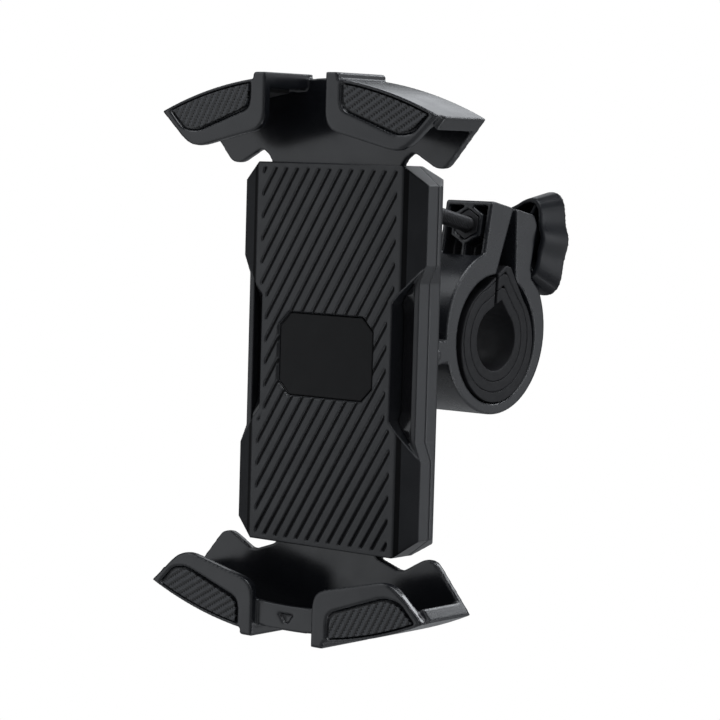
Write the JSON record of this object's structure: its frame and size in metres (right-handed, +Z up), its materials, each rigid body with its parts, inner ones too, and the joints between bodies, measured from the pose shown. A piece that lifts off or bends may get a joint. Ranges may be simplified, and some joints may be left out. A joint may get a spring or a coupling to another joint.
{
  "type": "handlebar phone mount",
  "caption": "Handlebar phone mount: sprung two-claw cradle with a grooved face, on a ball joint carried by a bolted bar clamp with nested rubber sleeves.",
  "frame": {"origin": "centre of the handlebar clamp's bore", "axes": "+X along the handlebar, +Z up, -Y towards the rider: the phone faces -Y"},
  "size_m": [0.1016, 0.1165, 0.159],
  "materials": {
    "body_black": "fine moulded grain",
    "badge_satin": "satin",
    "gloss_black": "high gloss",
    "weave_black": "raised twill texture",
    "soft_black": "matte",
    "sleeve_rubber": "matte",
    "ball_black": "smooth",
    "liner_grey": "smooth",
    "nylon": "natural",
    "steel": "zinc plated",
    "black_steel": "black oxide"
  },
  "bodies": {
    "clamp": {"clamp_body": "body_black", "sleeve_outer": "sleeve_rubber", "sleeve_middle": "sleeve_rubber", "sleeve_inner": "sleeve_rubber", "hex_nut": "black_steel"},
    "clamp_washer": {"washer": "steel"},
    "clamp_knob": {"knob": "body_black", "clamp_bolt": "black_steel"},
    "ball_collar": {"collar": "body_black"},
    "ball_pan": {"seat_cup": "liner_grey"},
    "ball_tilt": {"seat_ring": "liner_grey"},
    "cradle": {"front_cover": "body_black", "badge_panel": "badge_satin", "side_inlay_left": "gloss_black", "side_inlay_right": "gloss_black", "rear_shell": "body_black", "housing_screws": "steel", "pinion_axle": "steel", "ball_stud": "ball_black", "stud_screws": "steel", "spring_left": "steel", "spring_right": "steel"},
    "upper_claw": {"upper_claw": "body_black", "upper_inset_left": "weave_black", "upper_inset_right": "weave_black", "upper_pads": "soft_black"},
    "lower_claw": {"lower_claw": "body_black", "lower_inset_left": "weave_black", "lower_inset_right": "weave_black", "lower_pads": "soft_black"},
    "pinion": {"sync_pinion": "nylon"}
  },
  "joints": [
    {"name": "washer_travel", "type": "slide", "parent": "clamp", "child": "clamp_washer", "axis": [0, 0.981, -0.1942], "range_m": [0, 0.0016]},
    {"name": "knob_turn", "type": "hinge", "parent": "clamp_washer", "child": "clamp_knob", "pos_m": [0.0011, 0.00594, 0.03202], "axis": [0, 0.981, -0.1942], "range_deg": [0, 720.5]},
    {"name": "collar_turn", "type": "hinge", "parent": "clamp", "child": "ball_collar", "pos_m": [0, -0.0397, -0.0031], "axis": [0, -1, 0], "range_deg": [0, 90]},
    {"name": "ball_pan", "type": "hinge", "parent": "clamp", "child": "ball_pan", "pos_m": [0, -0.0397, -0.0031], "axis": [0, 0, 1], "range_deg": [-20, 20]},
    {"name": "ball_tilt", "type": "hinge", "parent": "ball_pan", "child": "ball_tilt", "pos_m": [0, -0.0397, -0.0031], "axis": [1, 0, 0], "range_deg": [-20, 20]},
    {"name": "ball_spin", "type": "hinge", "parent": "ball_tilt", "child": "cradle", "pos_m": [0, -0.0397, -0.0031], "axis": [0, 1, 0], "continuous": true},
    {"name": "upper_claw_slide", "type": "slide", "parent": "cradle", "child": "upper_claw", "axis": [0, 0, 1], "range_m": [0, 0.016], "stiffness_N_per_m": 600, "springref_m": -0.008, "deforming": ["spring_left", "spring_right"]},
    {"name": "lower_claw_slide", "type": "slide", "parent": "cradle", "child": "lower_claw", "axis": [0, 0, -1], "range_m": [0, 0.016]},
    {"name": "pinion_spin", "type": "hinge", "parent": "cradle", "child": "pinion", "pos_m": [0, -0.0639, -0.0031], "axis": [0, 1, 0], "range_deg": [0, 155]}
  ],
  "couplings": [
    {"joint": "knob_turn", "follows": "washer_travel", "rad_per_m": 7854},
    {"joint": "lower_claw_slide", "follows": "upper_claw_slide", "ratio": 1},
    {"joint": "pinion_spin", "follows": "upper_claw_slide", "rad_per_m": 166.67}
  ]
}
